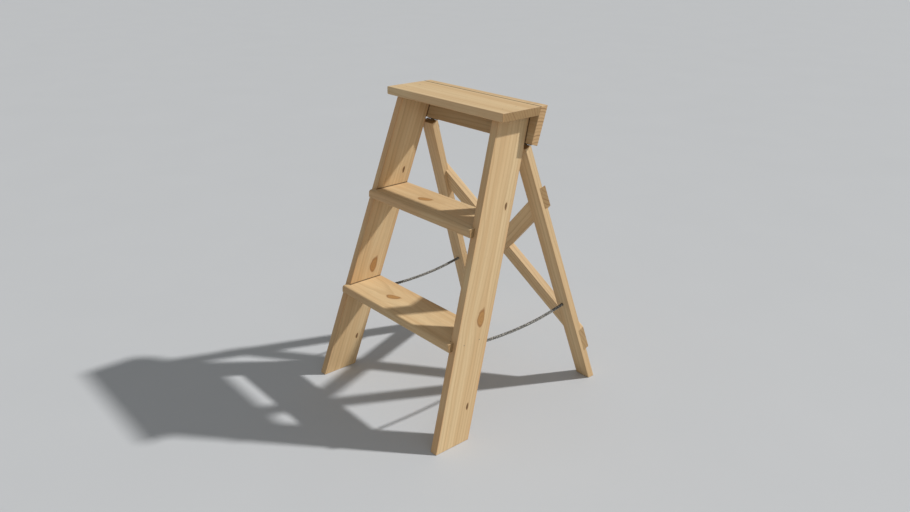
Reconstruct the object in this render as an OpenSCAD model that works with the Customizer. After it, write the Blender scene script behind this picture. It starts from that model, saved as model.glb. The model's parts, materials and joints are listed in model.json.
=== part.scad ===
// Wooden step ladder with two treads, a top step and a folding rear frame held by two stay ropes.
// +Z is up, the user climbs from -Y, and the origin is on the floor at the middle of the footprint.

/* [Ladder] */
// Height of the top step above the floor
ladder_h = 714; // [700:1:728]
// Lean of the front and the rear frame from upright, in degrees
frame_lean = 18; // [17:0.25:19]
// Sideways splay of stiles and legs, in degrees
side_splay = 5; // [4.5:0.25:5.5]
// Outside width of the two stiles at the level of the top step
top_outside_w = 343.6; // [330:0.2:360]

/* [Boards] */
// Thickness of the stiles, treads, top step, rail and braces
board_t = 19; // [17:0.5:20]
// Width of the stiles
stile_w = 89; // [80:1:95]
// Width of the hinge rail, which stands on edge
rail_w = 89; // [80:1:95]
// Thickness of the rear legs, less than the rail so that they fold clear of the stiles
leg_t = 18.5; // [16:0.1:18.5]
// Width of the rear legs
leg_w = 41; // [38:1:46]
// Width of the crossed braces
brace_w = 41; // [36:1:44]

/* [Steps] */
// Height of the lower tread's top face
lower_tread_h = 238; // [230:1:250]
// Height of the upper tread's top face
upper_tread_h = 476; // [460:1:490]
// How far a tread's nose stands in front of the stiles
tread_nose = 16.5; // [10:0.5:22]
// Depth of the housings that hold the tread ends
housing_depth = 9.5; // [6:0.5:12]
// Length of the top step and the hinge rail
top_l = 397; // [380:1:410]
// How far the top step stands in front of the stiles
top_nose = 12.5; // [8:0.5:20]
// Radius of the rounded upper front edge of each tread
nose_r = 6; // [3:0.5:8]
// Radius of the eased lower front edge of each tread
nose_lower_r = 3; // [1:0.5:6]
// Radius of the eased front edges of the top step
top_nose_r = 3; // [1:0.5:6]

/* [Braces] */
// Height at which a brace's centre line leaves the outer face of the leg at its high end
brace_high_h = 503; // [490:1:515]
// Height at which a brace's centre line leaves the outer face of the leg at its low end
brace_low_h = 115; // [100:1:130]
// Depth that the braces are let into the legs
brace_let = 9.5; // [8:0.5:10]

/* [Hinges] */
// Width of a hinge along its pin
hinge_w = 36; // [30:1:37]
// Length of a hinge leaf away from the pin
leaf_l = 22; // [20:1:26]
// Thickness of a hinge leaf
leaf_t = 1.6; // [1.2:0.1:2]
// Radius of a hinge pin
pin_r = 1.6; // [1.4:0.1:1.8]

/* [Ropes] */
// Diameter of the stay ropes
rope_d = 6; // [5:0.5:6]
// Diameter of the rope holes in the legs
rope_hole_d = 7; // [7:0.5:8]
// Height of the rope holes on the front faces of the legs
rope_hole_h = 215; // [213:0.5:217]

/* [Hidden] */
$fn = 48;

pine = [0.82, 0.69, 0.50];
pine_shaded = [0.76, 0.62, 0.43];
steel = [0.66, 0.67, 0.68];
nail_steel = [0.48, 0.47, 0.45];
rope_grey = [0.33, 0.33, 0.32];

right = 1;
left = -1;
sides = [left, right];
reach = 2 * ladder_h;               // longer than any board, for slabs that are cut to shape
overcut = 1;                        // how far a cutting solid passes the face that it opens

// Side view of the front frame: y of the stiles' front and rear edges and of the rail's rear face.
stile_depth = stile_w / cos(frame_lean);
rail_depth = board_t / cos(frame_lean);
rail_foot_z = ladder_h - rail_w * cos(frame_lean);
rear_foot = stile_depth + rail_depth + 2 * rail_foot_z * tan(frame_lean);
half_footprint = rear_foot / 2;
function stile_front_y(z) = z * tan(frame_lean) - half_footprint;
function stile_rear_y(z) = stile_front_y(z) + stile_depth;
function rail_rear_y(z) = stile_rear_y(z) + rail_depth;

// Front view: the outer faces of stiles and legs are one splayed plane on each side.
function outer_x(z) = top_outside_w / 2 + (ladder_h - z) * tan(side_splay);
stile_x_t = board_t / cos(side_splay);
function inner_x(z) = outer_x(z) - stile_x_t;

top_under_z = ladder_h - board_t;

// Hinge line: behind the lower rear corner of the rail, clear of both wooden faces.
knuckle_gap = 0.3;
knuckle_r = pin_r + leaf_t;
pin_offset = knuckle_r + knuckle_gap;
hinge_y = rail_rear_y(rail_foot_z) + pin_offset / cos(frame_lean);
hinge_z = rail_foot_z;
hinge_x = outer_x(hinge_z - leaf_l / 2) - leg_w / cos(side_splay) / 2;
pin_fit = 0.06;                     // radial clearance of the pin in the turning knuckle
pin_head_r = 2.4;
pin_head_t = 1.2;
leaf_screw_x = 10;
leaf_screw_z = 13.5;

// Rear face of the legs, which passes through the lower rear corner of the rail.
function leg_rear_y(z) = rail_rear_y(rail_foot_z) + (rail_foot_z - z) * tan(frame_lean);
function leg_front_y(z) = leg_rear_y(z) - leg_t / cos(frame_lean);
leg_top_gap = 0.5;                  // gap between rail and leg end when folded
leg_top_drop = pin_offset * tan(frame_lean) + leg_top_gap;

// Screws and nails: [shank radius, head radius, head depth, length]
leaf_screw = [1.6, 3.2, 1.6, 15];
rail_screw = [2, 4, 2.4, 40];
brace_screw = [1.9, 3.8, 2.2, 25];
lap_screw = [1.9, 3.8, 2.2, 16];
clip_screw = [1.4, 2.6, 1.2, 13];
tread_nail = [1.1, 1.4, 1.2, 40];
top_nail = [1.2, 1.5, 1.2, 45];
rail_nail = [1.1, 1.4, 1.2, 38];
slot_w = 0.8;
slot_depth = 0.35;                  // as a share of the head's depth

tread_nail_inset = [24, 68];        // distances behind the stile's front edge
top_nail_y = [-16, 24];
rail_nail_x = [-110, 0, 110];
rail_nail_z = 697;
rail_screw_z = [659, 677];
brace_screw_spread = 9;

// Rope clip: a steel strap over the rope with one ear below it, on the stile's inner face.
rope_r = rope_d / 2;
clip_t = 1.2;
clip_w = 10;
clip_ear_l = 14;
clip_screw_drop = 9.5;
clip_y = -125;
clip_z = 210;
rope_pitch_at_clip = -9.5;
front_knot_r = 6;
front_knot_out = 0.2;               // gap between the knot and the stile
front_knot_ahead = 5.2;
rear_knot_r = 7;
rear_knot_behind = 5.2;

// Route of the right-hand rope from its front knot, through the clip, to its rear knot.
rope_x = 193.8;
rope_route = [
    [-134, 211.5], [-125, 210], [-110, 207.5], [-95, 205.5], [-80, 203.5], [-65, 202],
    [-50, 201], [-35, 200], [-20, 199.5], [-5, 199], [10, 199], [25, 199], [40, 199.5],
    [55, 200], [70, 201], [85, 202], [100, 203.5], [115, 205.5], [130, 207.5], [145, 210],
    [160, 212.5], [172, 215], [181, 218], [189, 220.5]
];
rope_sides = 10;

// Places a part that is drawn for the right-hand side on either side.
module on_side(side) {
    if (side == right) children();
    else mirror([1, 0, 0]) children();
}

// Extrudes a side view, drawn as [y, z], along X about the middle plane.
module extrude_side_view(width) {
    rotate([90, 0, 90]) linear_extrude(height = width, center = true) children();
}

// Right-hand slab parallel to the splayed outer plane, from depth0 to depth1 inside it.
module splayed_slab(depth0, depth1) {
    translate([outer_x(ladder_h), 0, ladder_h])
        rotate([0, -side_splay, 0])
            translate([-depth1, -reach / 2, -reach])
                cube([depth1 - depth0, reach, 2 * reach]);
}

// Everything between the two splayed planes that lie depth inside the outer ones.
module between_splayed_planes(depth) {
    intersection_for (side = sides)
        on_side(side) splayed_slab(depth, reach);
}

// Removes the square corner at the origin of a quarter outside a circle of radius r.
module corner_waste(r) {
    difference() {
        translate([-overcut, -overcut]) square(r + overcut);
        translate([r, r]) circle(r);
    }
}

// Side view of a step: nose at front_y, rear edge along the stiles' rear edges.
module step_side_view(front_y, top_z, upper_r, lower_r) {
    under_z = top_z - board_t;
    difference() {
        polygon([
            [front_y, under_z], [stile_rear_y(under_z), under_z],
            [stile_rear_y(top_z), top_z], [front_y, top_z]
        ]);
        translate([front_y, under_z]) corner_waste(lower_r);
        translate([front_y, top_z]) mirror([0, 1]) corner_waste(upper_r);
    }
}

// Fastener with its head's outer face at z = 0 and its point down.
module countersunk_screw(size) {
    head_z = -size[2];
    difference() {
        union() {
            translate([0, 0, head_z]) cylinder(h = size[2], r1 = size[0], r2 = size[1]);
            translate([0, 0, -size[3]]) cylinder(h = size[3] + head_z, r = size[0]);
        }
        translate([-size[1], -slot_w / 2, head_z * slot_depth])
            cube([2 * size[1], slot_w, size[2]]);
    }
}

module finish_nail(size) {
    translate([0, 0, -size[2]]) cylinder(h = size[2], r = size[1]);
    translate([0, 0, -size[3]]) cylinder(h = size[3] - size[2], r = size[0]);
}

// The hole that a fastener fills.
module screw_hole(size) {
    translate([0, 0, -size[2]]) cylinder(h = size[2], r1 = size[0], r2 = size[1]);
    translate([0, 0, -size[3]]) cylinder(h = size[3] - size[2], r = size[0]);
}

module nail_hole(size) {
    finish_nail(size);
}

// Rail frame: origin on the hinge line, +Y out of the rail's rear face, +Z up the rail.
module rail_frame() {
    translate([0, hinge_y, hinge_z]) rotate([-frame_lean, 0, 0]) children();
}

// Leg frame: origin on the hinge line, +Y out of the leg's rear face, +Z up the leg.
module leg_frame() {
    translate([0, hinge_y, hinge_z]) rotate([frame_lean, 0, 0]) children();
}

// Turns a fastener drawn point down so that it is driven along -Y.
module driven_forward() {
    rotate([-90, 0, 0]) children();
}

// Point on the rail's rear face at height z, as a z in the rail frame.
function rail_up(z) = (z - hinge_z + pin_offset * sin(-frame_lean)) / cos(frame_lean);

// Places on the right-hand side for each kind of fastener.
module at_tread_nails() {
    for (tread_z = [lower_tread_h, upper_tread_h], inset = tread_nail_inset) {
        z = tread_z - board_t / 2;
        translate([outer_x(z), stile_front_y(z) + inset, z])
            rotate([0, 90 - side_splay, 0])
                children();
    }
}

module at_top_nails() {
    for (y = top_nail_y)
        translate([outer_x(top_under_z) - stile_x_t / 2, y, ladder_h]) children();
}

module at_rail_nails() {
    for (x = rail_nail_x)
        rail_frame() translate([x, -pin_offset, rail_up(rail_nail_z)]) driven_forward() children();
}

module at_rail_screws() {
    for (z = rail_screw_z)
        rail_frame()
            translate([outer_x(z) - stile_x_t / 2, -pin_offset, rail_up(z)])
                driven_forward()
                    children();
}

module at_leaf_screws(up) {
    for (x = [-leaf_screw_x, leaf_screw_x])
        translate([hinge_x + x, leaf_t - pin_offset, up * leaf_screw_z])
            driven_forward()
                children();
}

// Hinges. Both leaves are drawn with the pin along X at the origin and the leaf up +Z.
module knuckle(x0, x1, bore_r) {
    translate([x0, 0, 0]) rotate([0, 90, 0])
        difference() {
            cylinder(h = x1 - x0, r = knuckle_r);
            translate([0, 0, -overcut]) cylinder(h = x1 - x0 + 2 * overcut, r = bore_r);
        }
}

module leaf_plate(x0, x1, from_z) {
    translate([x0, -pin_offset, from_z]) cube([x1 - x0, leaf_t, leaf_l - from_z]);
}

module rail_leaf() {
    end_w = hinge_w / 3;
    clear_z = knuckle_r + 2 * knuckle_gap;
    rail_frame() difference() {
        translate([hinge_x, 0, 0]) {
            leaf_plate(-hinge_w / 2, hinge_w / 2, clear_z);
            for (x0 = [-hinge_w / 2, hinge_w / 2 - end_w]) {
                leaf_plate(x0, x0 + end_w, 0);
                knuckle(x0, x0 + end_w, pin_r);
            }
        }
        at_leaf_screws(1) screw_hole(leaf_screw);
    }
}

module leg_leaf() {
    half_middle = hinge_w / 6 - knuckle_gap;
    clear_z = knuckle_r + 2 * knuckle_gap;
    leg_frame() difference() {
        translate([hinge_x, 0, 0]) mirror([0, 0, 1]) {
            leaf_plate(-hinge_w / 2, hinge_w / 2, clear_z);
            leaf_plate(-half_middle, half_middle, 0);
            knuckle(-half_middle, half_middle, pin_r + pin_fit);
        }
        at_leaf_screws(-1) screw_hole(leaf_screw);
    }
}

module hinge_pin() {
    translate([hinge_x, hinge_y, hinge_z]) rotate([0, 90, 0]) {
        cylinder(h = hinge_w, r = pin_r, center = true);
        for (end = sides)
            translate([0, 0, end * (hinge_w + pin_head_t) / 2])
                cylinder(h = pin_head_t, r = pin_head_r, center = true);
    }
}

// Clip frame: origin on the rope's centre, +X into the stile, +Y back along the rope.
module clip_frame() {
    translate([rope_x, clip_y, clip_z])
        rotate([0, -side_splay, 0])
            rotate([rope_pitch_at_clip, 0, 0])
                children();
}

module at_clip_screw() {
    clip_frame() translate([rope_r - clip_t, 0, -clip_screw_drop]) rotate([0, -90, 0]) children();
}

module rope_clip() {
    outer_r = rope_r + clip_t;
    difference() {
        clip_frame() rotate([90, 0, 0]) linear_extrude(height = clip_w, center = true)
            difference() {
                union() {
                    circle(outer_r);
                    translate([0, -outer_r]) square([rope_r, 2 * outer_r]);
                    translate([rope_r - clip_t, -clip_ear_l]) square([clip_t, clip_ear_l]);
                }
                circle(rope_r);
                translate([0, -rope_r]) square([rope_r + overcut, 2 * rope_r]);
                translate([rope_r, -reach / 2]) square([reach, reach]);
            }
        at_clip_screw() screw_hole(clip_screw);
    }
}

// Stay rope: a ring of points round each point of the route, joined into one closed tube.
function rope_direction(i) =
    let (before = rope_route[max(i - 1, 0)],
         after = rope_route[min(i + 1, len(rope_route) - 1)],
         step = after - before)
    step / norm(step);
function rope_ring(i) =
    let (along = rope_direction(i), centre = rope_route[i])
    [for (k = [0 : rope_sides - 1])
        let (angle = 360 * k / rope_sides, up = rope_r * sin(angle))
        [rope_x + rope_r * cos(angle), centre[0] - up * along[1], centre[1] + up * along[0]]];

module stay_rope() {
    rings = len(rope_route);
    points = [for (i = [0 : rings - 1]) each rope_ring(i)];
    walls = [for (i = [0 : rings - 2], k = [0 : rope_sides - 1])
        let (next = (k + 1) % rope_sides, a = i * rope_sides, b = a + rope_sides)
        [a + k, b + k, b + next, a + next]];
    front_end = [for (k = [0 : rope_sides - 1]) k];
    rear_end = [for (k = [rope_sides - 1 : -1 : 0]) (rings - 1) * rope_sides + k];
    polyhedron(points, concat(walls, [front_end], [rear_end]));
}

// A knot pulled up against a face: a ball of radius r, its centre at height on +Z, cut flat at z = 0.
module knot(r, height) {
    rotate_extrude() intersection() {
        translate([0, height]) circle(r);
        square([r, height + r]);
    }
}

module front_knot() {
    clip_frame()
        translate([rope_r - front_knot_r - front_knot_out, -clip_w / 2, 0])
            rotate([90, 0, 0])
                knot(front_knot_r, front_knot_ahead);
}

// Knot frame: origin where the rope hole opens in the leg's front face, +Y back along the hole.
module rope_hole_frame() {
    translate([rope_x, leg_front_y(rope_hole_h), rope_hole_h])
        rotate([frame_lean, 0, 0])
            children();
}

module rear_knot() {
    rope_hole_frame() translate([0, leg_t, 0]) rotate([-90, 0, 0])
        knot(rear_knot_r, rear_knot_behind);
}

// Boards of the front frame
module stile() {
    difference() {
        intersection() {
            extrude_side_view(reach) polygon([
                [stile_front_y(0), 0], [stile_rear_y(0), 0],
                [stile_rear_y(top_under_z), top_under_z],
                [stile_front_y(top_under_z), top_under_z]
            ]);
            splayed_slab(0, board_t);
        }
        for (top_z = [lower_tread_h, upper_tread_h])
            intersection() {
                translate([0, -reach / 2, top_z - board_t]) cube([reach, reach, board_t]);
                splayed_slab(board_t - housing_depth, reach);
            }
        at_tread_nails() nail_hole(tread_nail);
        at_top_nails() nail_hole(top_nail);
        at_rail_screws() screw_hole(rail_screw);
        at_clip_screw() screw_hole(clip_screw);
    }
}

module tread(top_z) {
    difference() {
        intersection() {
            extrude_side_view(reach)
                step_side_view(stile_front_y(top_z) - tread_nose, top_z, nose_r, nose_lower_r);
            between_splayed_planes(board_t - housing_depth);
        }
        for (side = sides) on_side(side) at_tread_nails() nail_hole(tread_nail);
    }
}

module top_step_board() {
    difference() {
        extrude_side_view(top_l)
            step_side_view(stile_front_y(top_under_z) - top_nose, ladder_h,
                           top_nose_r, top_nose_r);
        for (side = sides) on_side(side) at_top_nails() nail_hole(top_nail);
        at_rail_nails() nail_hole(rail_nail);
    }
}

module hinge_rail_board() {
    foot_front = [
        rail_rear_y(rail_foot_z) - board_t * cos(frame_lean),
        rail_foot_z + board_t * sin(frame_lean)
    ];
    difference() {
        extrude_side_view(top_l) polygon([
            foot_front, [rail_rear_y(rail_foot_z), rail_foot_z],
            [rail_rear_y(ladder_h), ladder_h], [stile_rear_y(ladder_h), ladder_h]
        ]);
        for (side = sides) on_side(side) {
            at_rail_screws() screw_hole(rail_screw);
            rail_frame() at_leaf_screws(1) screw_hole(leaf_screw);
        }
        at_rail_nails() nail_hole(rail_nail);
    }
}

// Boards of the rear frame. The brace plane is the legs' rear face: x across, z up the slope.
module brace_plane() {
    translate([0, leg_rear_y(0), 0]) rotate([frame_lean, 0, 0]) children();
}

brace_high = [-outer_x(brace_high_h), brace_high_h / cos(frame_lean)];
brace_low = [outer_x(brace_low_h), brace_low_h / cos(frame_lean)];
brace_run = brace_low - brace_high;
brace_slope = atan2(brace_run[1], brace_run[0]);
brace_cross_z = brace_high[1] - brace_high[0] * brace_run[1] / brace_run[0];

// Bar of the brace that starts high on the left, from depth y0 to y1 behind the legs' rear faces.
module brace_bar(y0, y1) {
    brace_plane()
        translate([0, y0, brace_cross_z])
            rotate([0, -brace_slope, 0])
                translate([-reach / 2, 0, -brace_w / 2])
                    cube([reach, y1 - y0, brace_w]);
}

module left_high_bar(y0, y1) {
    intersection() {
        brace_bar(y0, y1);
        between_splayed_planes(0);
    }
}

module right_high_bar(y0, y1) {
    mirror([1, 0, 0]) left_high_bar(y0, y1);
}

brace_front = -brace_let;
brace_back = board_t - brace_let;
brace_middle = (brace_front + brace_back) / 2;

// Two screws at each end of the brace that starts high on the left.
module at_brace_screws() {
    leg_middle = leg_w / cos(side_splay) / 2;
    for (end = [brace_high, brace_low], spread = [-brace_screw_spread, brace_screw_spread]) {
        x = end[0] - sign(end[0]) * leg_middle;
        z = brace_cross_z + x * tan(brace_slope);
        brace_plane()
            translate([x + spread * sin(brace_slope), brace_back, z + spread * cos(brace_slope)])
                driven_forward()
                    children();
    }
}

module at_lap_screw() {
    brace_plane() translate([0, brace_back, brace_cross_z]) driven_forward() children();
}

module left_high_brace() {
    difference() {
        left_high_bar(brace_front, brace_back);
        right_high_bar(brace_front - overcut, brace_middle);
        at_brace_screws() screw_hole(brace_screw);
        at_lap_screw() screw_hole(lap_screw);
    }
}

module right_high_brace() {
    difference() {
        right_high_bar(brace_front, brace_back);
        left_high_bar(brace_middle, brace_back + overcut);
        mirror([1, 0, 0]) at_brace_screws() screw_hole(brace_screw);
        at_lap_screw() screw_hole(lap_screw);
    }
}

// Corner of a leg's side view, from leg-frame y and z.
function leg_corner(y, z) = [
    hinge_y + y * cos(frame_lean) - z * sin(frame_lean),
    hinge_z + y * sin(frame_lean) + z * cos(frame_lean)
];

module rear_leg() {
    difference() {
        intersection() {
            extrude_side_view(reach) polygon([
                [leg_front_y(0), 0], [leg_rear_y(0), 0],
                leg_corner(-pin_offset, -leg_top_drop),
                leg_corner(-pin_offset - leg_t, -leg_top_drop)
            ]);
            splayed_slab(0, leg_w);
        }
        brace_bar(brace_front, brace_back);
        mirror([1, 0, 0]) brace_bar(brace_front, brace_back);
        at_brace_screws() screw_hole(brace_screw);
        mirror([1, 0, 0]) at_brace_screws() screw_hole(brace_screw);
        leg_frame() at_leaf_screws(-1) screw_hole(leaf_screw);
        rope_hole_frame() translate([0, -overcut, 0]) rotate([-90, 0, 0])
            cylinder(h = leg_t + 2 * overcut, r = rope_hole_d / 2);
    }
}

// One module per node
module stile_left() { color(pine) on_side(left) stile(); }
module stile_right() { color(pine) on_side(right) stile(); }
module lower_tread() { color(pine_shaded) tread(lower_tread_h); }
module upper_tread() { color(pine_shaded) tread(upper_tread_h); }
module top_step() { color(pine_shaded) top_step_board(); }
module hinge_rail() { color(pine) hinge_rail_board(); }
module tread_nails() {
    color(nail_steel) for (side = sides) on_side(side) at_tread_nails() finish_nail(tread_nail);
}
module top_nails() {
    color(nail_steel) for (side = sides) on_side(side) at_top_nails() finish_nail(top_nail);
}
module rail_nails() { color(nail_steel) at_rail_nails() finish_nail(rail_nail); }
module rail_screws() {
    color(steel) for (side = sides) on_side(side) at_rail_screws() countersunk_screw(rail_screw);
}
module rail_leaf_left() { color(steel) on_side(left) rail_leaf(); }
module rail_leaf_right() { color(steel) on_side(right) rail_leaf(); }
module rail_leaf_screws() {
    color(steel) for (side = sides) on_side(side)
        rail_frame() at_leaf_screws(1) countersunk_screw(leaf_screw);
}
module hinge_pin_left() { color(steel) on_side(left) hinge_pin(); }
module hinge_pin_right() { color(steel) on_side(right) hinge_pin(); }
module rope_clip_left() { color(steel) on_side(left) rope_clip(); }
module rope_clip_right() { color(steel) on_side(right) rope_clip(); }
module rope_clip_screws() {
    color(steel) for (side = sides) on_side(side) at_clip_screw() countersunk_screw(clip_screw);
}
module stay_rope_left() { color(rope_grey) on_side(left) stay_rope(); }
module stay_rope_right() { color(rope_grey) on_side(right) stay_rope(); }
module front_knot_left() { color(rope_grey) on_side(left) front_knot(); }
module front_knot_right() { color(rope_grey) on_side(right) front_knot(); }
module rear_leg_left() { color(pine) on_side(left) rear_leg(); }
module rear_leg_right() { color(pine) on_side(right) rear_leg(); }
module brace_left_high() { color(pine_shaded) left_high_brace(); }
module brace_right_high() { color(pine_shaded) right_high_brace(); }
module brace_screws() {
    color(steel) {
        for (side = sides) on_side(side) at_brace_screws() countersunk_screw(brace_screw);
        at_lap_screw() countersunk_screw(lap_screw);
    }
}
module leg_leaf_left() { color(steel) on_side(left) leg_leaf(); }
module leg_leaf_right() { color(steel) on_side(right) leg_leaf(); }
module leg_leaf_screws() {
    color(steel) for (side = sides) on_side(side)
        leg_frame() at_leaf_screws(-1) countersunk_screw(leaf_screw);
}
module rear_knot_left() { color(rope_grey) on_side(left) rear_knot(); }
module rear_knot_right() { color(rope_grey) on_side(right) rear_knot(); }

stile_left();
stile_right();
lower_tread();
upper_tread();
top_step();
hinge_rail();
tread_nails();
top_nails();
rail_nails();
rail_screws();
rail_leaf_left();
rail_leaf_right();
rail_leaf_screws();
hinge_pin_left();
hinge_pin_right();
rope_clip_left();
rope_clip_right();
rope_clip_screws();
stay_rope_left();
stay_rope_right();
front_knot_left();
front_knot_right();
rear_leg_left();
rear_leg_right();
brace_left_high();
brace_right_high();
brace_screws();
leg_leaf_left();
leg_leaf_right();
leg_leaf_screws();
rear_knot_left();
rear_knot_right();
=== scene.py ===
"""A folding wooden step ladder: pine boards, steel hinges and fasteners, and two rope stays."""
import json
import math

import bmesh
import bpy
from mathutils import Matrix, Vector


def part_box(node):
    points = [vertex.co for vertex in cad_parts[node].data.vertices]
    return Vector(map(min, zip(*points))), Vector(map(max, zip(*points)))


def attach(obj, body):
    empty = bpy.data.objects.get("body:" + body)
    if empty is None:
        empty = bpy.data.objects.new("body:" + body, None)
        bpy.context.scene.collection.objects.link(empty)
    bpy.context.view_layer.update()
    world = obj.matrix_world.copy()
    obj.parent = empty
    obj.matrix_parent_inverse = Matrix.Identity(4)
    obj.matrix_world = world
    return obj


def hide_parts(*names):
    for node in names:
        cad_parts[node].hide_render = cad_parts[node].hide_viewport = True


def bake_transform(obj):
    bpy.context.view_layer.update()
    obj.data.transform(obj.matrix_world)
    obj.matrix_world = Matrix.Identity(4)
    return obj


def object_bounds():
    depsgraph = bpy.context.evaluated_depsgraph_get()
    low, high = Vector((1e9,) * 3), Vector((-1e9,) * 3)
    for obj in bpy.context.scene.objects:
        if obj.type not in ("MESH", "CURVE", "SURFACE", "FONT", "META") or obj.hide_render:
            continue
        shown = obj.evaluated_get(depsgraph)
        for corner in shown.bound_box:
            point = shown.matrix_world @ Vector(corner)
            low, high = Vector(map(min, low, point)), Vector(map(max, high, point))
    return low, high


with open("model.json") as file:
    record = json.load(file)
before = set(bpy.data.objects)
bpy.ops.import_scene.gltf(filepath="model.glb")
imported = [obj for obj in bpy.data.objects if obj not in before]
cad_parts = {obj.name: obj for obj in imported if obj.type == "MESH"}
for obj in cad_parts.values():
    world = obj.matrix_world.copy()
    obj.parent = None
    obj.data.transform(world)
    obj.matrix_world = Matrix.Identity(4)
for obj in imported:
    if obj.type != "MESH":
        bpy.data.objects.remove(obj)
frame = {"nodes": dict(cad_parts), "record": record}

cad_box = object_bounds()

MM = 0.001
FRONT = "front_frame"
REAR = "rear_frame"
SIDES = {"left": -1, "right": 1}

# Camera
CAMERA_AT = Vector((1.3717, -1.1802, 1.0726))
CAMERA_AZIMUTH = math.radians(49.43)
CAMERA_DOWN = math.radians(22.39)
CAMERA_LENS = 32.0
SENSOR_WIDTH = 36.0

# Ropes: the right-hand route in the plane x = ROPE_X, from the front knot to the rear knot
ROPE_X = 193.8 * MM
ROPE_ROUTE = [
    (-134, 211.5), (-125, 210), (-110, 207.5), (-95, 205.5), (-80, 203.5), (-65, 202),
    (-50, 201), (-35, 200), (-20, 199.5), (-5, 199), (10, 199), (25, 199), (40, 199.5),
    (55, 200), (70, 201), (85, 202), (100, 203.5), (115, 205.5), (130, 207.5), (145, 210),
    (160, 212.5), (172, 215), (181, 218), (189, 220.5),
]
ROPE_RADIUS = 3 * MM
STRAND_REACH = 1.62 * MM
STRAND_RADIUS = 1.98 * MM
STRAND_BULGE = 1.12
ROPE_PITCH = 21 * MM
ROPE_STEP = 1.1 * MM
ROPE_STRANDS = 3
STRAND_SIDES = 12
ROUNDED_RINGS = 3
KNOT_TAIL = 1.5 * MM
KNOT_ROPE = 0.80
KNOT_POINTS = 90
KNOT_DEPTH = 1.15
KNOT_PLACES = (
    # end, body, the way its tail points, and its outer radius
    ("front", FRONT, (0, -1, 0.15), 6.4 * MM),
    ("rear", REAR, (0, 1, 0.3), 7.4 * MM),
)

# Boards
WELD = 0.02 * MM
FLAT = math.radians(1)
SHARP = math.radians(30)
BOARD_EASE = 1.1 * MM
STEEL_EASE = 0.25 * MM
SCREW_EASE = 0.15 * MM
STEEL_SEGMENTS = 2
OUTLINE_SPREAD = 12 * MM
SMOOTH_BELOW = math.radians(40)

# Light and floor
TOWARDS_LAMP = Vector((0.60, 0.955, 1.0))
FLOOR_HALF = 30.0


# ---------------------------------------------------------------- camera, light and floor

def make_camera():
    """The photograph's view: looking down at the ladder from its right front."""
    data = bpy.data.cameras.new("camera")
    data.lens = CAMERA_LENS
    data.sensor_width = SENSOR_WIDTH
    data.clip_start = 0.05
    data.clip_end = 50
    camera = bpy.data.objects.new("camera", data)
    bpy.context.scene.collection.objects.link(camera)
    across = math.cos(CAMERA_DOWN)
    ahead = Vector((
        -math.sin(CAMERA_AZIMUTH) * across,
        math.cos(CAMERA_AZIMUTH) * across,
        -math.sin(CAMERA_DOWN),
    ))
    camera.location = CAMERA_AT
    camera.rotation_mode = "QUATERNION"
    camera.rotation_quaternion = ahead.to_track_quat("-Z", "Y")
    bpy.context.scene.camera = camera


def add_lamp(name, kind, towards, energy, **settings):
    """A lamp that shines from the direction `towards` onto the ladder's middle."""
    data = bpy.data.lights.new(name, kind)
    data.energy = energy
    for key, value in settings.items():
        setattr(data, key, value)
    lamp = bpy.data.objects.new(name, data)
    middle = (cad_box[0] + cad_box[1]) / 2
    lamp.location = middle + towards
    lamp.rotation_mode = "QUATERNION"
    lamp.rotation_quaternion = (-towards).to_track_quat("-Z", "Y")
    bpy.context.scene.collection.objects.link(lamp)


def light_scene():
    """A key light from the right and behind, a weak broad one from the right, and a pale surround."""
    add_lamp("key", "SUN", TOWARDS_LAMP.normalized() * 3, 3.4, angle=math.radians(2.4))
    add_lamp("side", "AREA", Vector((2.4, -1.2, 1.1)), 5, size=1.8, shape="SQUARE")
    world = bpy.data.worlds.new("surround")
    world.use_nodes = True
    background = world.node_tree.nodes["Background"]
    background.inputs["Color"].default_value = (0.93, 0.97, 1.0, 1)
    background.inputs["Strength"].default_value = 0.33
    bpy.context.scene.world = world
    bpy.context.scene.view_settings.view_transform = "Standard"


def lay_floor():
    """A plain pale floor under the ladder."""
    mesh = bpy.data.meshes.new("floor")
    corners = [(x * FLOOR_HALF, y * FLOOR_HALF, 0) for x, y in ((-1, -1), (1, -1), (1, 1), (-1, 1))]
    mesh.from_pydata(corners, [], [(0, 1, 2, 3)])
    floor = bpy.data.objects.new("floor", mesh)
    bpy.context.scene.collection.objects.link(floor)
    material, wires = new_material("pale_floor")
    cloudy = wires.noise(wires.place(), 3.0, 3, 0.5)
    colour = wires.mix(cloudy, (0.50, 0.505, 0.51, 1), (0.52, 0.525, 0.53, 1))
    wires.surface(**{"Base Color": colour, "Roughness": 0.7, "Specular IOR Level": 0.2})
    mesh.materials.append(material)


# ---------------------------------------------------------------- wiring of materials

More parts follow.
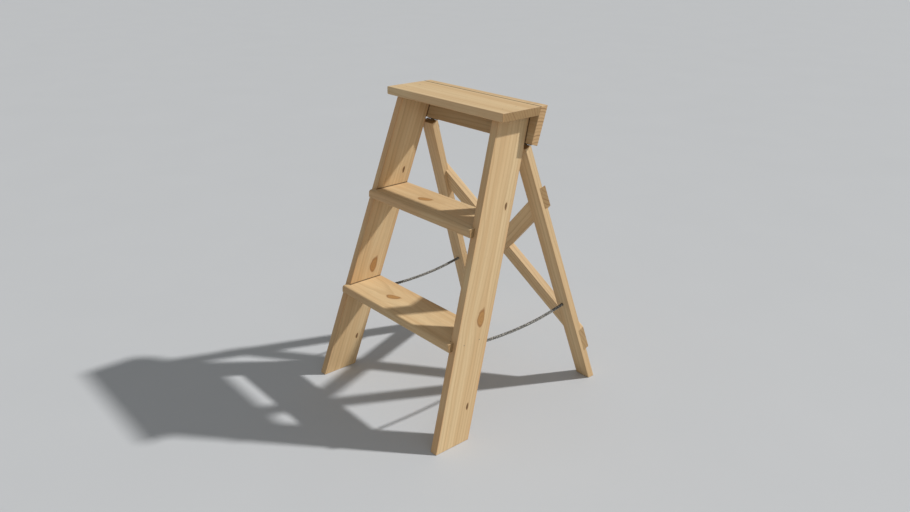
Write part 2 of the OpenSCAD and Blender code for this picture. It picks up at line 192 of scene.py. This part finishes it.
class Wires:
    """Short calls for wiring a material's nodes. A value is a number, a colour or a socket."""

    def __init__(self, tree):
        self.tree = tree

    def add(self, kind, values, **settings):
        node = self.tree.nodes.new("ShaderNode" + kind)
        for key, value in settings.items():
            setattr(node, key, value)
        for key, value in values.items():
            self.plug(node.inputs[key], value)
        return node

    def plug(self, socket, value):
        """Links a socket to another one, or sets its value."""
        if isinstance(value, bpy.types.NodeSocket):
            self.tree.links.new(value, socket)
        else:
            socket.default_value = value

    def place(self):
        """The surface point in the frame, which stays with the piece as its body moves."""
        return self.add("TexCoord", {}).outputs["Object"]

    def facing(self):
        """The surface's own direction in the frame."""
        return self.add("TexCoord", {}).outputs["Normal"]

    def math(self, operation, *values):
        return self.add("Math", dict(enumerate(values)), operation=operation).outputs[0]

    def vector(self, operation, *values):
        node = self.add("VectorMath", dict(enumerate(values)), operation=operation)
        return node.outputs["Value" if operation in ("DOT_PRODUCT", "LENGTH") else "Vector"]

    def parts(self, vector):
        node = self.add("SeparateXYZ", {0: vector})
        return node.outputs[0], node.outputs[1], node.outputs[2]

    def join(self, x, y, z):
        return self.add("CombineXYZ", {0: x, 1: y, 2: z}).outputs[0]

    def scaled(self, vector, sizes):
        return self.vector("MULTIPLY", vector, sizes)

    def noise(self, vector, scale, detail=2.0, roughness=0.5):
        values = {"Vector": vector, "Scale": scale, "Detail": detail, "Roughness": roughness}
        return self.add("TexNoise", values).outputs["Fac"]

    def lopsided(self, value, above, below):
        """A value's size, with one gain on its positive side and another on its negative side."""
        return self.math("MAXIMUM", self.math("MULTIPLY", value, above), self.math("MULTIPLY", value, -below))

    def step(self, value, low, high, start=0.0, end=1.0):
        """Runs smoothly from start to end as the value goes from low to high."""
        values = {"Value": value, "From Min": low, "From Max": high, "To Min": start, "To Max": end}
        return self.add("MapRange", values, interpolation_type="SMOOTHSTEP").outputs["Result"]

    def mix(self, share, first, second, blend="MIX"):
        node = self.add("Mix", {}, data_type="RGBA", blend_type=blend)
        for place, value in ((0, share), (6, first), (7, second)):
            self.plug(node.inputs[place], value)
        return node.outputs[2]

    def bump(self, height, strength, distance):
        values = {"Height": height, "Strength": strength, "Distance": distance}
        return self.add("Bump", values).outputs["Normal"]

    def surface(self, **values):
        """Sets or links the inputs of the material's one shader."""
        shader = self.tree.nodes["Principled BSDF"]
        for key, value in values.items():
            self.plug(shader.inputs[key], value)


def new_material(name):
    material = bpy.data.materials.new(name)
    material.use_nodes = True
    return material, Wires(material.node_tree)


# ---------------------------------------------------------------- pine

PALE = (0.665, 0.487, 0.272, 1)
WARM = (0.600, 0.405, 0.208, 1)
LATE = (0.400, 0.245, 0.110, 1)
END_PALE = (0.520, 0.330, 0.160, 1)
END_LATE = (0.240, 0.125, 0.050, 1)
# Darker end grain, partly painted shade: it stands in for the shadow on end faces such as the treads' ears
# and the top step's end
END_DARK_AND_SHADE = (0.350, 0.220, 0.098, 1)
KNOT = (0.430, 0.222, 0.070, 1)
DEAD_KNOT = (0.130, 0.070, 0.025, 1)
KNOT_RIM = (0.270, 0.130, 0.048, 1)
EDGE_STREAK = (0.600, 0.320, 0.140, 1)
# The joint lines' colour: painted shade in the crevices between boards, and dirt
SEAM_SHADE_AND_DIRT = (0.120, 0.070, 0.030, 1)
RING_SPACING = 7.1 * MM
SEAM_WIDTH = 2.4 * MM

# How fast a knot's radius grows towards its long end, short end, round side and straight side
LONG_HALF = 0.75
SHORT_HALF = 1.2
ROUND_HALF = 0.75
FLAT_HALF = 1.9


class Board:
    """Where a board lies: axes along its grain, across its width and through its thickness."""

    def __init__(self, mesh):
        normal, area = Vector((0, 0, 1)), 0.0
        for face in mesh.faces:
            if face.calc_area() > area:
                normal, area = face.normal.copy(), face.calc_area()
        longest = max(mesh.edges, key=lambda edge: edge.calc_length())
        along = (longest.verts[1].co - longest.verts[0].co).normalized()
        self.along = self.forward(along)
        self.through = self.forward(normal)
        self.across = self.through.cross(self.along).normalized()
        self.axes = Matrix((self.along, self.across, self.through))
        local = [self.axes @ vertex.co for vertex in mesh.verts]
        low = Vector([min(point[i] for point in local) for i in range(3)])
        high = Vector([max(point[i] for point in local) for i in range(3)])
        self.size = high - low
        self.centre = self.axes.transposed() @ ((low + high) / 2)

    @staticmethod
    def forward(axis):
        """The axis or its opposite, so that its largest part is positive."""
        return axis if max(axis, key=abs) > 0 else -axis

    def inside(self, point):
        """A point of the frame in the board's own axes, from its centre."""
        return self.axes @ (Vector(point) - self.centre)


def grain_flow(wires, x, y, board, knots):
    """Bends the across coordinate round each knot. Returns it and each knot's radius and colour.

    A knot is cut at a slant: it is round on one side, nearly straight on the other and pointed
    at its ends, and it runs out longer towards one of them.
    """
    bent = y
    radii = []
    for point, half_width, stretch, turn, flat_side, long_end, tone in knots:
        centre = board.inside(point)
        dx = wires.math("SUBTRACT", x, centre.x)
        dy = wires.math("SUBTRACT", y, centre.y)
        cosine, sine = math.cos(turn), math.sin(turn)
        u = wires.math("ADD", wires.math("MULTIPLY", dx, cosine), wires.math("MULTIPLY", dy, sine))
        v = wires.math("SUBTRACT", wires.math("MULTIPLY", dy, cosine), wires.math("MULTIPLY", dx, sine))
        u = wires.math("DIVIDE", u, half_width * stretch)
        v = wires.math("DIVIDE", v, half_width)
        u = wires.lopsided(u, LONG_HALF * long_end, SHORT_HALF * long_end)
        v = wires.lopsided(v, -ROUND_HALF * flat_side, -FLAT_HALF * flat_side)
        wobble = wires.noise(wires.join(dx, dy, half_width), 90.0, 2.0)
        squares = wires.math("ADD", wires.math("POWER", u, 1.45), wires.math("POWER", v, 2.0))
        radius = wires.math("SQRT", squares)
        wobble = wires.math("MULTIPLY", wires.math("SUBTRACT", wobble, 0.5), 0.30)
        radius = wires.math("ADD", radius, wobble)
        radii.append((radius, tone))
        fade = wires.math("EXPONENT", wires.math("MULTIPLY", wires.math("POWER", radius, 2.0), -0.22))
        shift = wires.math("MULTIPLY", wires.math("MULTIPLY", dy, fade), 0.75)
        bent = wires.math("SUBTRACT", bent, shift)
    return bent, radii


def seam_line(wires, place, facing, seams):
    """How near a point is to one of the board's joint lines, from 0 to 1."""
    near = 0.0
    for normal, offset, marked, onward, start in seams:
        gap = wires.math("SUBTRACT", wires.vector("DOT_PRODUCT", place, normal), offset)
        close = wires.step(wires.math("ABSOLUTE", gap), 0.6 * SEAM_WIDTH, SEAM_WIDTH, 1.0, 0.0)
        shown = wires.step(wires.vector("DOT_PRODUCT", facing, marked), 0.2, 0.5)
        reached = wires.vector("DOT_PRODUCT", place, onward)
        within = wires.step(reached, start - SEAM_WIDTH, start)
        close = wires.math("MULTIPLY", close, within)
        near = wires.math("MAXIMUM", near, wires.math("MULTIPLY", close, shown))
    return near


def pine(name, board, seed, pith, tilt, end_tone, edge_warmth, knots, seams):
    """Planed pine, with rings round a pith line, fibres, knots, end grain and streaked edges.

    pith is the ring centre in the board's section as (across, through) in metres, tilt is how
    far the pith line wanders across and through the board per metre of its length, end_tone
    is the pale colour of its end grain, darkened on some boards as painted shade, and
    edge_warmth is how strong its edge streak is.
    """
    material, wires = new_material(name)
    place = wires.place()
    normal = wires.facing()
    turn = board.axes.transposed().to_euler()
    values = {"Vector": place, "Location": board.centre, "Rotation": turn}
    local = wires.add("Mapping", values, vector_type="TEXTURE").outputs[0]
    x, y, z = wires.parts(local)
    shifted = wires.vector("ADD", local, (seed * 1.7, seed * 0.9, seed * 0.4))

    # Growth rings about a pith line that wanders a little along the board
    sway = wires.noise(wires.scaled(shifted, (2.2, 0.0, 0.0)), 1.0, 2.0)
    sway = wires.math("MULTIPLY", wires.math("SUBTRACT", sway, 0.5), 26 * MM)
    ripple = wires.noise(wires.scaled(shifted, (7.0, 22.0, 22.0)), 1.0, 2.0, 0.55)
    ripple = wires.math("MULTIPLY", wires.math("SUBTRACT", ripple, 0.5), 7 * MM)
    bent, knot_radii = grain_flow(wires, x, y, board, knots)
    off_y = wires.math("ADD", wires.math("SUBTRACT", bent, pith[0]), wires.math("MULTIPLY", x, tilt[0]))
    off_z = wires.math("ADD", wires.math("SUBTRACT", z, pith[1]), wires.math("MULTIPLY", x, tilt[1]))
    off_z = wires.math("ADD", off_z, sway)
    squares = wires.math("ADD", wires.math("POWER", off_y, 2.0), wires.math("POWER", off_z, 2.0))
    radius = wires.math("SQRT", squares)
    phase = wires.math("DIVIDE", wires.math("ADD", radius, ripple), RING_SPACING)
    through_ring = wires.math("FRACT", phase)
    ring_number = wires.math("FLOOR", wires.math("ADD", phase, seed * 7.3))
    ring_mood = wires.add("TexWhiteNoise", {"W": ring_number}, noise_dimensions="1D").outputs["Value"]
    late = wires.step(through_ring, 0.48, 0.92)
    late = wires.math("MULTIPLY", late, wires.step(through_ring, 0.93, 1.0, 1.0, 0.0))
    late = wires.math("MULTIPLY", late, wires.step(ring_mood, 0.0, 1.0, 0.35, 1.0))

    # Fibres, broad bands of colour and resin flecks, all drawn out along the board
    fibre = wires.noise(wires.scaled(shifted, (9.0, 620.0, 620.0)), 1.0, 3.0, 0.6)
    band = wires.noise(wires.scaled(shifted, (1.1, 46.0, 46.0)), 1.0, 3.0, 0.55)
    streak = wires.noise(wires.scaled(shifted, (2.6, 150.0, 150.0)), 1.0, 2.0, 0.5)
    fleck = wires.noise(wires.scaled(shifted, (55.0, 1500.0, 1500.0)), 1.0, 1.0, 0.4)
    fleck = wires.step(fleck, 0.66, 0.76)

    # End grain, where the surface faces along the board
    facing = wires.math("ABSOLUTE", wires.vector("DOT_PRODUCT", normal, board.along))
    end = wires.step(facing, 0.45, 0.75)

    tone = wires.mix(wires.step(band, 0.32, 0.68), PALE, WARM)
    face_late = wires.math("MULTIPLY", late, 0.42)
    colour = wires.mix(face_late, tone, LATE)
    end_colour = wires.mix(wires.math("MULTIPLY", late, 0.9), end_tone, END_LATE)
    colour = wires.mix(end, colour, end_colour)
    lightness = wires.math("ADD", wires.math("MULTIPLY", fibre, 0.16), 0.92)
    streaked = wires.math("ADD", wires.math("MULTIPLY", streak, 0.18), 0.91)
    lightness = wires.math("MULTIPLY", lightness, streaked)
    colour = wires.mix(1.0, colour, wires.join(lightness, lightness, lightness), "MULTIPLY")
    colour = wires.mix(wires.math("MULTIPLY", fleck, 0.35), colour, LATE)

    # A warmer streak beside the long edges
    edge_distance = wires.math("SUBTRACT", board.size.y / 2, wires.math("ABSOLUTE", y))
    beside_edge = wires.step(edge_distance, 0.0, 7 * MM, 1.0, 0.0)
    patchy = wires.step(wires.noise(wires.scaled(shifted, (6.0, 1.0, 1.0)), 1.0, 2.0), 0.30, 0.58)
    beside_edge = wires.math("MULTIPLY", wires.math("MULTIPLY", beside_edge, patchy), edge_warmth)
    colour = wires.mix(beside_edge, colour, EDGE_STREAK)

    for radius, knot_tone in knot_radii:
        inner_rings = wires.math("SINE", wires.math("MULTIPLY", radius, 17.0))
        heart = wires.mix(wires.step(inner_rings, -1.0, 1.0, 0.0, 0.30), knot_tone, KNOT_RIM)
        rim = wires.math("MULTIPLY", wires.step(radius, 0.70, 0.95), wires.step(radius, 1.0, 1.15, 1.0, 0.0))
        halo = wires.step(radius, 1.0, 2.3, 0.5, 0.0)
        colour = wires.mix(halo, colour, WARM)
        colour = wires.mix(wires.step(radius, 0.88, 1.08, 0.96, 0.0), colour, heart)
        colour = wires.mix(wires.math("MULTIPLY", rim, 0.55), colour, KNOT_RIM)

    # Eased edges are handled most, so they are a little darker and smoother
    eased = wires.add("Attribute", {}, attribute_name="eased").outputs["Fac"]
    colour = wires.mix(wires.math("MULTIPLY", eased, 0.30), colour, LATE)

    # Fine dark lines where other boards meet this one: painted shade in the joints, and dirt in them
    joints = wires.math("MULTIPLY", seam_line(wires, place, normal, seams), 0.85)
    colour = wires.mix(joints, colour, SEAM_SHADE_AND_DIRT)

    relief = wires.math("ADD", wires.math("MULTIPLY", late, 0.5), wires.math("MULTIPLY", fibre, 0.6))
    rough = wires.math("ADD", wires.math("MULTIPLY", fibre, 0.22), 0.52)
    rough = wires.math("SUBTRACT", rough, wires.math("MULTIPLY", eased, 0.12))
    wires.surface(**{
        "Base Color": colour,
        "Roughness": rough,
        "Specular IOR Level": 0.32,
        "Normal": wires.bump(relief, 0.35, 0.25 * MM),
    })
    return material


# ---------------------------------------------------------------- steel and rope

def steel(name, colour, stain, roughness):
    """Plated sheet or wire steel with a faint brushed grain, cloudy plating and dull stains."""
    material, wires = new_material(name)
    place = wires.place()
    cloudy = wires.noise(place, 160.0, 4.0, 0.6)
    brushed = wires.noise(wires.scaled(place, (500.0, 4000.0, 4000.0)), 1.0, 2.0)
    stained = wires.step(wires.noise(place, 420.0, 3.0, 0.65), 0.52, 0.72)
    tone = wires.mix(wires.math("MULTIPLY", stained, 0.6), colour, stain)
    rough = wires.math("ADD", wires.math("MULTIPLY", cloudy, 0.25), roughness)
    relief = wires.math("ADD", brushed, wires.math("MULTIPLY", cloudy, 0.5))
    wires.surface(**{
        "Base Color": tone,
        "Metallic": 1.0,
        "Roughness": rough,
        "Normal": wires.bump(relief, 0.12, 0.05 * MM),
    })
    return material


def rope_fibre():
    """Dark grey cord: fine yarns at a slant round each strand, with paler flecks."""
    material, wires = new_material("grey_cord")
    round_and_along = wires.add("UVMap", {}, uv_map="lay").outputs["UV"]
    u, v, _ = wires.parts(round_and_along)
    slant = wires.math("ADD", wires.math("MULTIPLY", u, 6.0), wires.math("MULTIPLY", v, 420.0))
    yarn = wires.math("SINE", wires.math("MULTIPLY", slant, 2 * math.pi))
    place = wires.place()
    speckle = wires.noise(place, 330.0, 2.0, 0.5)
    fleck = wires.step(speckle, 0.50, 0.60)
    patch = wires.noise(place, 120.0, 2.0)
    tone = wires.mix(wires.step(patch, 0.3, 0.7), (0.050, 0.048, 0.043, 1), (0.100, 0.095, 0.084, 1))
    tone = wires.mix(wires.step(yarn, -1.0, 1.0, 0.0, 0.45), tone, (0.18, 0.17, 0.15, 1))
    tone = wires.mix(wires.math("MULTIPLY", fleck, 0.75), tone, (0.46, 0.44, 0.39, 1))
    relief = wires.math("ADD", wires.math("MULTIPLY", yarn, 0.5), speckle)
    wires.surface(**{
        "Base Color": tone,
        "Roughness": 0.88,
        "Specular IOR Level": 0.2,
        "Sheen Weight": 0.25,
        "Normal": wires.bump(relief, 0.6, 0.3 * MM),
    })
    return material


# ---------------------------------------------------------------- meshes

def slot_of(node):
    for row in frame["record"]["subparts"]:
        if row["node"] == node:
            return row["material_slot"]
    raise KeyError(node)


def body_of(node):
    for body, members in frame["record"]["behaviour"]["bodies"].items():
        if node in members:
            return body
    raise KeyError(node)


def tidy_mesh(node):
    """The CAD node's shape as whole faces, without its triangles."""
    mesh = bmesh.new()
    mesh.from_mesh(frame["nodes"][node].data)
    bmesh.ops.remove_doubles(mesh, verts=mesh.verts[:], dist=WELD)
    bmesh.ops.dissolve_limit(mesh, angle_limit=FLAT, verts=mesh.verts[:], edges=mesh.edges[:])
    bmesh.ops.recalc_face_normals(mesh, faces=mesh.faces[:])
    mesh.normal_update()
    return mesh


def turns_at(edge):
    """How sharply the surface turns at an edge: positive outwards, negative into a corner."""
    if len(edge.link_faces) != 2:
        return 0.0
    return edge.calc_face_angle_signed(0.0)


def outline_edges(mesh):
    """Outward edges to ease: not the rims of holes, nor the edges of notches and housings."""
    sunk = {face for edge in mesh.edges if turns_at(edge) < -SHARP for face in edge.link_faces}
    sharp = {edge for edge in mesh.edges if turns_at(edge) > SHARP}
    found = []
    seen = set()
    for first in sharp:
        if first in seen:
            continue
        group, queue = set(), [first]
        while queue:
            edge = queue.pop()
            if edge in group:
                continue
            group.add(edge)
            queue.extend(e for v in edge.verts for e in v.link_edges if e in sharp and e not in group)
        seen |= group
        points = [v.co for edge in group for v in edge.verts]
        spread = max((a - points[0]).length for a in points)
        if spread > OUTLINE_SPREAD:
            found.extend(group)
    return [edge for edge in found if not any(face in sunk for face in edge.link_faces)]


def finish_piece(mesh, name, node, material, width, segments=3):
    """Eases the outline of a CAD node's shape and shows it in the node's place."""
    eased = mesh.faces.layers.float.new("eased")
    edges = outline_edges(mesh)
    if edges:
        made = bmesh.ops.bevel(
            mesh, geom=edges, offset=width, offset_type="OFFSET", segments=segments,
            profile=0.5, affect="EDGES", clamp_overlap=False, miter_outer="SHARP",
        )
        for face in made["faces"]:
            face[eased] = 1.0
    data = bpy.data.meshes.new(name)
    mesh.to_mesh(data)
    mesh.free()
    data.shade_smooth()
    data.set_sharp_from_angle(angle=SMOOTH_BELOW)
    piece = bpy.data.objects.new(name, data)
    bpy.context.scene.collection.objects.link(piece)
    weighted = piece.modifiers.new("flat_faces", "WEIGHTED_NORMAL")
    weighted.keep_sharp = True
    data.materials.append(material)
    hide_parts(node)
    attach(piece, body_of(node))
    return piece


# ---------------------------------------------------------------- rope

def smooth_line(points, step):
    """Points about every step along a smooth curve through the given ones."""
    line = []
    for i in range(len(points) - 1):
        before = points[max(i - 1, 0)]
        start, end = points[i], points[i + 1]
        after = points[min(i + 2, len(points) - 1)]
        count = max(1, round((end - start).length / step))
        for k in range(count):
            t = k / count
            line.append(0.5 * (
                2 * start + (end - before) * t
                + (2 * before - 5 * start + 4 * end - after) * t ** 2
                + (3 * start - before - 3 * end + after) * t ** 3
            ))
    line.append(points[-1])
    return line


def frames_along(line):
    """A direction and two normals at each point, without twist."""
    frames = []
    normal = None
    for i in range(len(line)):
        ahead = (line[min(i + 1, len(line) - 1)] - line[max(i - 1, 0)]).normalized()
        if normal is None:
            normal = ahead.orthogonal()
        normal = (normal - ahead * normal.dot(ahead)).normalized()
        frames.append((ahead, normal, ahead.cross(normal)))
    return frames


def lay_strands(mesh, uv, line, size, pitch):
    """Adds three strands, twisted about the line, to a bmesh. size is 1 for the stay itself."""
    frames = frames_along(line)
    reach = STRAND_REACH * size
    thick = STRAND_RADIUS * size
    ends = ROUNDED_RINGS
    for strand in range(ROPE_STRANDS):
        rings, places = [], []
        travelled = 0.0
        for i, (point, (ahead, side, up)) in enumerate(zip(line, frames)):
            if i:
                travelled += (point - line[i - 1]).length
            angle = 2 * math.pi * (travelled / pitch + strand / ROPE_STRANDS)
            out = side * math.cos(angle) + up * math.sin(angle)
            centre = point + out * reach
            swirl = ahead.cross(out)
            from_end = min(i, len(line) - 1 - i)
            short = max(0.0, 1 - (from_end + 0.35) / (ends + 0.35))
            taper = math.sqrt(1 - short ** 2)
            ring = []
            for k in range(STRAND_SIDES):
                around = 2 * math.pi * k / STRAND_SIDES
                lift, slide = math.cos(around) * thick, math.sin(around) * thick * STRAND_BULGE
                ring.append(mesh.verts.new(centre + (out * lift + swirl * slide) * taper))
            rings.append(ring)
            places.append(travelled)
        for i in range(len(rings) - 1):
            for k in range(STRAND_SIDES):
                n = (k + 1) % STRAND_SIDES
                face = mesh.faces.new((rings[i][k], rings[i][n], rings[i + 1][n], rings[i + 1][k]))
                face.smooth = True
                corners = ((k, i), (k + 1, i), (k + 1, i + 1), (k, i + 1))
                for loop, (a, b) in zip(face.loops, corners):
                    loop[uv].uv = (a / STRAND_SIDES, places[b])
        mesh.faces.new(reversed(rings[0])).smooth = True
        mesh.faces.new(rings[-1]).smooth = True


def rope_piece(name, lines, size, pitch, material):
    """One piece of laid rope, or several in one mesh."""
    mesh = bmesh.new()
    uv = mesh.loops.layers.uv.new("lay")
    for line in lines:
        lay_strands(mesh, uv, line, size, pitch)
    data = bpy.data.meshes.new(name)
    mesh.to_mesh(data)
    mesh.free()
    data.materials.append(material)
    piece = bpy.data.objects.new(name, data)
    bpy.context.scene.collection.objects.link(piece)
    return piece


def knot_lines(node, axis, knot_radius, tail):
    """An overhand knot pulled tight, filling the CAD knot's place, and its short tail."""
    low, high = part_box(node)
    centre = (low + high) / 2
    axis = Vector(axis).normalized()
    side = axis.orthogonal().normalized()
    up = axis.cross(side)
    size = (knot_radius - ROPE_RADIUS * 0.8) / 3
    turns = []
    for i in range(KNOT_POINTS + 1):
        t = 2 * math.pi * i / KNOT_POINTS
        a = (math.sin(t) + 2 * math.sin(2 * t)) * size
        b = (math.cos(t) - 2 * math.cos(2 * t)) * size
        c = -math.sin(3 * t) * size * KNOT_DEPTH
        turns.append(centre + side * a + up * b + axis * c)
    end = [centre + axis * (tail * k / 12) for k in range(13)]
    return [turns, end]


def stay_ropes():
    """Both rope stays, with a stopper knot at each end."""
    cord = rope_fibre()
    for name, sign in SIDES.items():
        route = [Vector((sign * ROPE_X, y * MM, z * MM)) for y, z in ROPE_ROUTE]
        line = smooth_line(route, ROPE_STEP)
        stay = rope_piece(f"stay_{name}", [line], 1.0, ROPE_PITCH, cord)
        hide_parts(f"stay_rope_{name}")
        for end, body, axis, radius in KNOT_PLACES:
            node = f"{end}_knot_{name}"
            lines = knot_lines(node, axis, radius, radius + KNOT_TAIL)
            pitch = ROPE_PITCH * KNOT_ROPE
            knot = rope_piece(f"{end}_stopper_{name}", lines, KNOT_ROPE, pitch, cord)
            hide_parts(node)
            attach(knot, body)
        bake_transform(stay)


# ---------------------------------------------------------------- the ladder's own pieces

LEAN = math.radians(18)
SPLAY = math.radians(5)
RISE = 0.238
TOP = 0.714
BOARD_T = 19 * MM


def joint_lines(node):
    """Where joints show on a board, each as a plane's normal and offset, the way the marked face
    looks, and the direction and distance from which the line begins."""
    sign = -1 if node.endswith("left") else 1
    level = Vector((0, 0, 1))
    back = Vector((0, math.cos(LEAN), -math.sin(LEAN)))
    outward = Vector((sign * math.cos(SPLAY), 0, math.sin(SPLAY)))
    stile_low, stile_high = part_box("stile_right")
    stile_front = math.cos(LEAN) * stile_low.y
    outer_wall = math.cos(SPLAY) * stile_high.x
    rail_front = back.dot(Vector((0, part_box("top_step")[1].y, TOP)))
    rail_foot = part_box("hinge_rail")[0].z
    if node.startswith("stile"):
        heights = [rise - drop for rise in (RISE, 2 * RISE) for drop in (0, BOARD_T)]
        lines = [(level, height, -outward, level, 0) for height in heights]
        for face in (outward, -outward):
            lines.append((level, TOP - BOARD_T, face, level, 0))
            lines.append((back, rail_front, face, level, rail_foot))
        return lines
    found = []
    if node in ("top_step", "hinge_rail"):
        found.append((back, rail_front, level, level, 0))
    for side in (-1, 1):
        wall = Vector((side * math.cos(SPLAY), 0, math.sin(SPLAY)))
        if node.endswith("tread"):
            found.append((wall, outer_wall - BOARD_T, level, back, stile_front))
        if node == "hinge_rail":
            found.append((wall, outer_wall, -back, level, 0))
            found.append((wall, outer_wall - BOARD_T, -back, level, 0))
    return found


# Each board's seed, pith place (across, through) in millimetres, pith drift, end tone, edge
# warmth, and knots as (point on the face, half its width in millimetres, length over width,
# turn from the board's line, straight side, long end, colour)
BOARDS = {
    "stile_left": (1, (72, -58), (0.02, 0.03), END_PALE, 0.55, (
        ((-0.1912, -0.1105, 0.2700), 10.5, 1.8, 0.0, -1, 1, KNOT),
        ((-0.1698, -0.0246, 0.5124), 3.4, 2.2, 0.0, -1, -1, DEAD_KNOT),
        ((-0.2081, -0.1624, 0.0810), 3.4, 2.0, 0.0, -1, 1, DEAD_KNOT),
    )),
    "stile_right": (2, (76, -52), (0.02, 0.03), END_PALE, 0.60, (
        ((0.2101, -0.1089, 0.2715), 10.5, 1.8, 0.0, -1, 1, KNOT),
        ((0.1895, -0.0226, 0.5100), 3.4, 2.2, 0.0, -1, -1, DEAD_KNOT),
        ((0.2272, -0.1640, 0.0803), 3.4, 2.2, 0.0, -1, 1, DEAD_KNOT),
    )),
    "lower_tread": (3, (0, -70), (0.05, 0.03), END_DARK_AND_SHADE, 0.35, (
        ((-0.0720, -0.1430, 0.238), 10.5, 1.7, 0.35, 1, 1, KNOT),
    )),
    "upper_tread": (4, (8, -75), (0.05, 0.02), END_DARK_AND_SHADE, 0.35, (
        ((-0.0440, -0.0630, 0.476), 10.5, 1.7, 0.35, 1, 1, KNOT),
    )),
    "top_step": (5, (-105, -45), (0.03, 0.0), END_DARK_AND_SHADE, 0.30, ()),
    "hinge_rail": (6, (70, 20), (0.0, 0.04), END_PALE, 0.10, ()),
    "rear_leg_left": (7, (50, 60), (0.02, 0.02), END_DARK_AND_SHADE, 0.10, ()),
    "rear_leg_right": (8, (60, -70), (0.02, 0.02), END_DARK_AND_SHADE, 0.10, ()),
    "brace_left_high": (9, (40, -60), (0.02, 0.03), END_DARK_AND_SHADE, 0.10, ()),
    "brace_right_high": (10, (-50, 60), (0.03, 0.02), END_DARK_AND_SHADE, 0.10, ()),
}


def boards():
    """Every board, in pine cut from its own place in a tree."""
    for node, (seed, pith, tilt, end_tone, edge_warmth, knots) in BOARDS.items():
        mesh = tidy_mesh(node)
        board = Board(mesh)
        knots = [(point, half * MM, *rest) for point, half, *rest in knots]
        pith = [part * MM for part in pith]
        seams = joint_lines(node)
        material = pine(
            f"pine_{node}", board, seed, pith, tilt, end_tone, edge_warmth, knots, seams,
        )
        finish_piece(mesh, f"{node}_board", node, material, BOARD_EASE)


def hardware():
    """Hinges, rope clips, screws and nails, each in its own steel with its edges eased."""
    bronzed = steel("bronzed_steel", (0.19, 0.16, 0.13, 1), (0.085, 0.065, 0.050, 1), 0.42)
    screw = steel("screw_plate", (0.62, 0.60, 0.55, 1), (0.35, 0.31, 0.25, 1), 0.26)
    nail = steel("nail_steel", (0.36, 0.29, 0.21, 1), (0.24, 0.15, 0.08, 1), 0.50)
    looks = {
        "hinge_steel": (bronzed, STEEL_EASE),
        "screw_steel": (screw, SCREW_EASE),
        "nail_steel": (nail, SCREW_EASE),
    }
    for node in frame["nodes"]:
        slot = slot_of(node)
        if slot in looks:
            material, ease = looks[slot]
            finish_piece(tidy_mesh(node), f"{node}_steel", node, material, ease, STEEL_SEGMENTS)


make_camera()
stay_ropes()
boards()
hardware()
lay_floor()
light_scene()
